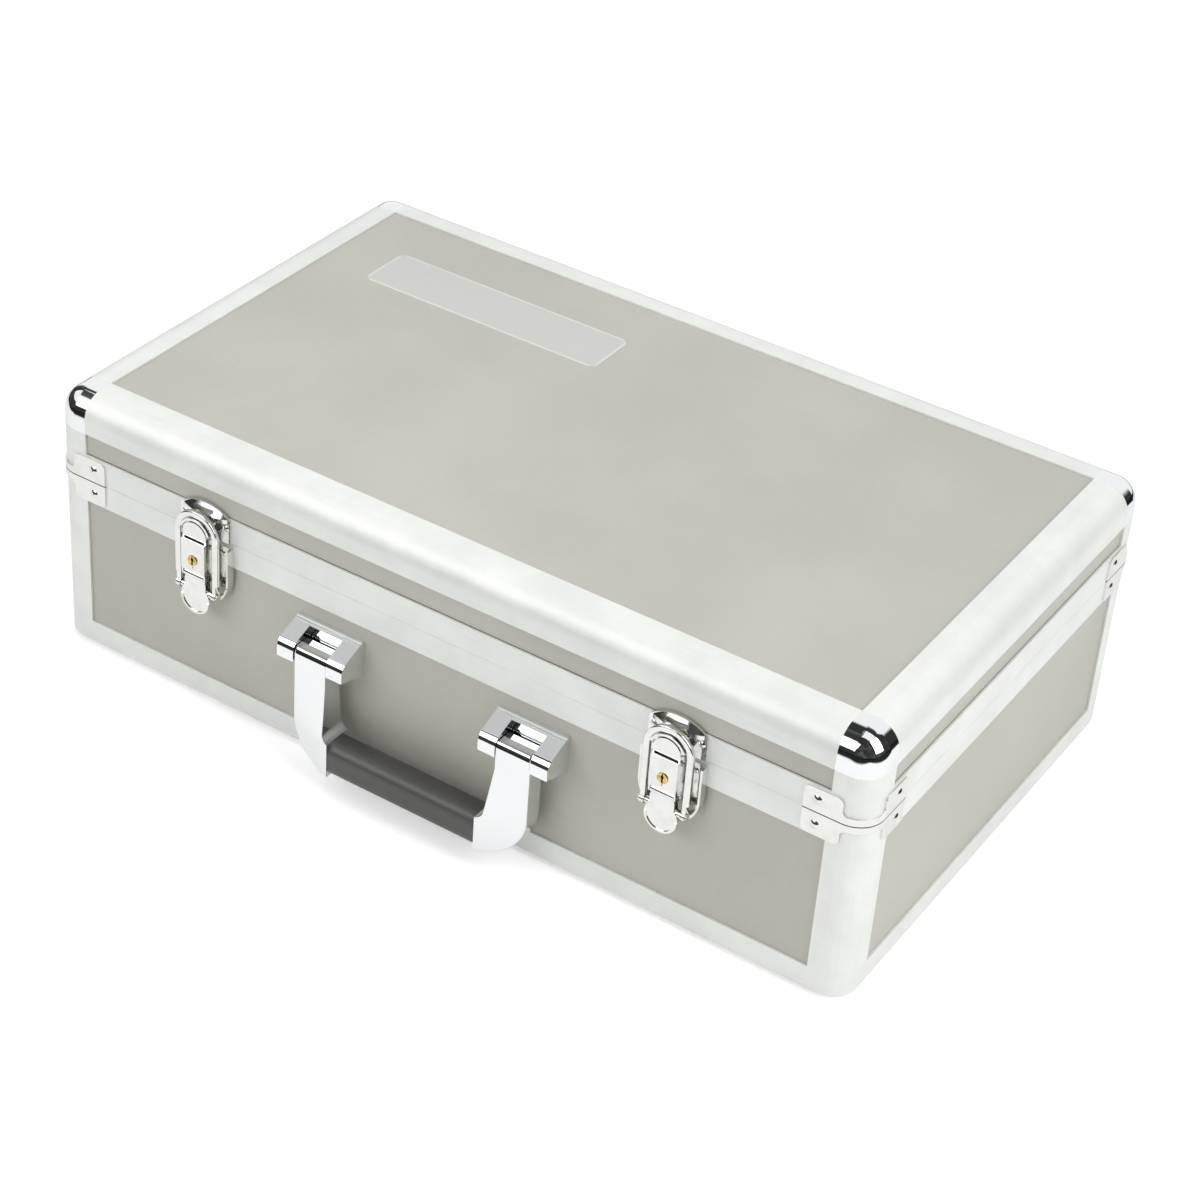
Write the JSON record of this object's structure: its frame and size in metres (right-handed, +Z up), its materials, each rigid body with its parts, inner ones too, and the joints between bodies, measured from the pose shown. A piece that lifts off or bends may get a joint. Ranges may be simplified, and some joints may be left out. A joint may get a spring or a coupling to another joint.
{
  "type": "guitar pedal case",
  "caption": "Hard guitar pedal case with aluminium edging, grey beige panels, chrome ball corners, key-locking draw latches, a folding handle and a hinged lid.",
  "frame": {"origin": "Middle of the whole case's footprint, on the surface its rubber feet stand on.", "axes": "+X to the right along the front, +Y from the handle side to the hinges, +Z up towards the lid."},
  "size_m": [0.504, 0.3286, 0.1605],
  "materials": {
    "aluminium": "satin anodised extrusion",
    "panel": "grey beige laminate with a fine orange-peel texture",
    "chrome": "bright chrome plate",
    "nickel": "bright nickel-plated stamped steel",
    "brass": "machined brass",
    "grip": "soft dark grey PVC",
    "steel": "plain zinc-plated steel",
    "rubber": "black moulded rubber",
    "foam": "charcoal open-cell foam"
  },
  "bodies": {
    "case_body": {"front_panel": "panel", "rear_panel": "panel", "left_panel": "panel", "right_panel": "panel", "bottom_panel": "panel", "body_rim_front": "aluminium", "body_rim_rear": "aluminium", "body_rim_left": "aluminium", "body_rim_right": "aluminium", "bottom_edge_front": "aluminium", "bottom_edge_rear": "aluminium", "bottom_edge_left": "aluminium", "bottom_edge_right": "aluminium", "body_posts": "aluminium", "bottom_corners": "aluminium", "body_corner_clamps": "nickel", "body_clamp_rivets": "nickel", "bottom_feet": "rubber", "rear_feet": "rubber", "floor_foam": "foam", "wall_foam": "foam", "latch_base_left": "nickel", "latch_base_right": "nickel", "lock_cover_left": "nickel", "lock_cover_right": "nickel", "latch_lever_pins": "steel", "handle_mount_left": "chrome", "handle_mount_right": "chrome", "handle_pins": "steel", "body_hinge_leaves": "nickel", "hinge_pins": "steel", "body_rivets": "nickel"},
    "lid": {"lid_top_panel": "panel", "lid_side_strips": "panel", "lid_rim_front": "aluminium", "lid_rim_rear": "aluminium", "lid_rim_left": "aluminium", "lid_rim_right": "aluminium", "lid_edge_front": "aluminium", "lid_edge_rear": "aluminium", "lid_edge_left": "aluminium", "lid_edge_right": "aluminium", "lid_posts": "aluminium", "ball_corners": "chrome", "lid_corner_clamps": "nickel", "lid_clamp_rivets": "nickel", "lid_foam": "foam", "lid_hinge_leaves": "nickel", "latch_catches": "nickel", "lid_rivets": "nickel"},
    "handle": {"handle_arm_left": "chrome", "handle_arm_right": "chrome", "handle_grip": "grip", "handle_core": "steel"},
    "lever_left": {"latch_lever_left": "nickel"},
    "bail_left": {"latch_bail_left": "nickel"},
    "lock_left": {"lock_plug_left": "brass"},
    "lever_right": {"latch_lever_right": "nickel"},
    "bail_right": {"latch_bail_right": "nickel"},
    "lock_right": {"lock_plug_right": "brass"}
  },
  "joints": [
    {"name": "lid_hinge", "type": "hinge", "parent": "case_body", "child": "lid", "pos_m": [0, 0.1595, 0.11127], "axis": [-1, 0, 0], "range_deg": [0, 100]},
    {"name": "latch_left", "type": "hinge", "parent": "case_body", "child": "lever_left", "pos_m": [-0.1454, -0.1491, 0.09], "axis": [-1, 0, 0], "range_deg": [0, 108]},
    {"name": "bail_swing_left", "type": "hinge", "parent": "lever_left", "child": "bail_left", "pos_m": [-0.1454, -0.1481, 0.08], "axis": [-1, 0, 0], "range_deg": [-129.6, 0]},
    {"name": "key_left", "type": "hinge", "parent": "case_body", "child": "lock_left", "pos_m": [-0.1454, -0.1519, 0.1002], "axis": [0, 1, 0], "range_deg": [0, 90]},
    {"name": "latch_right", "type": "hinge", "parent": "case_body", "child": "lever_right", "pos_m": [0.1454, -0.1491, 0.09], "axis": [-1, 0, 0], "range_deg": [0, 108]},
    {"name": "bail_swing_right", "type": "hinge", "parent": "lever_right", "child": "bail_right", "pos_m": [0.1454, -0.1481, 0.08], "axis": [-1, 0, 0], "range_deg": [-129.6, 0]},
    {"name": "key_right", "type": "hinge", "parent": "case_body", "child": "lock_right", "pos_m": [0.1454, -0.1519, 0.1002], "axis": [0, 1, 0], "range_deg": [0, 90]},
    {"name": "handle_pivot", "type": "hinge", "parent": "case_body", "child": "handle", "pos_m": [0, -0.1514, 0.076], "axis": [-1, 0, 0], "range_deg": [0, 95]}
  ],
  "couplings": [
    {"joint": "bail_swing_left", "follows": "latch_left", "ratio": -1.2},
    {"joint": "bail_swing_right", "follows": "latch_right", "ratio": -1.2}
  ]
}
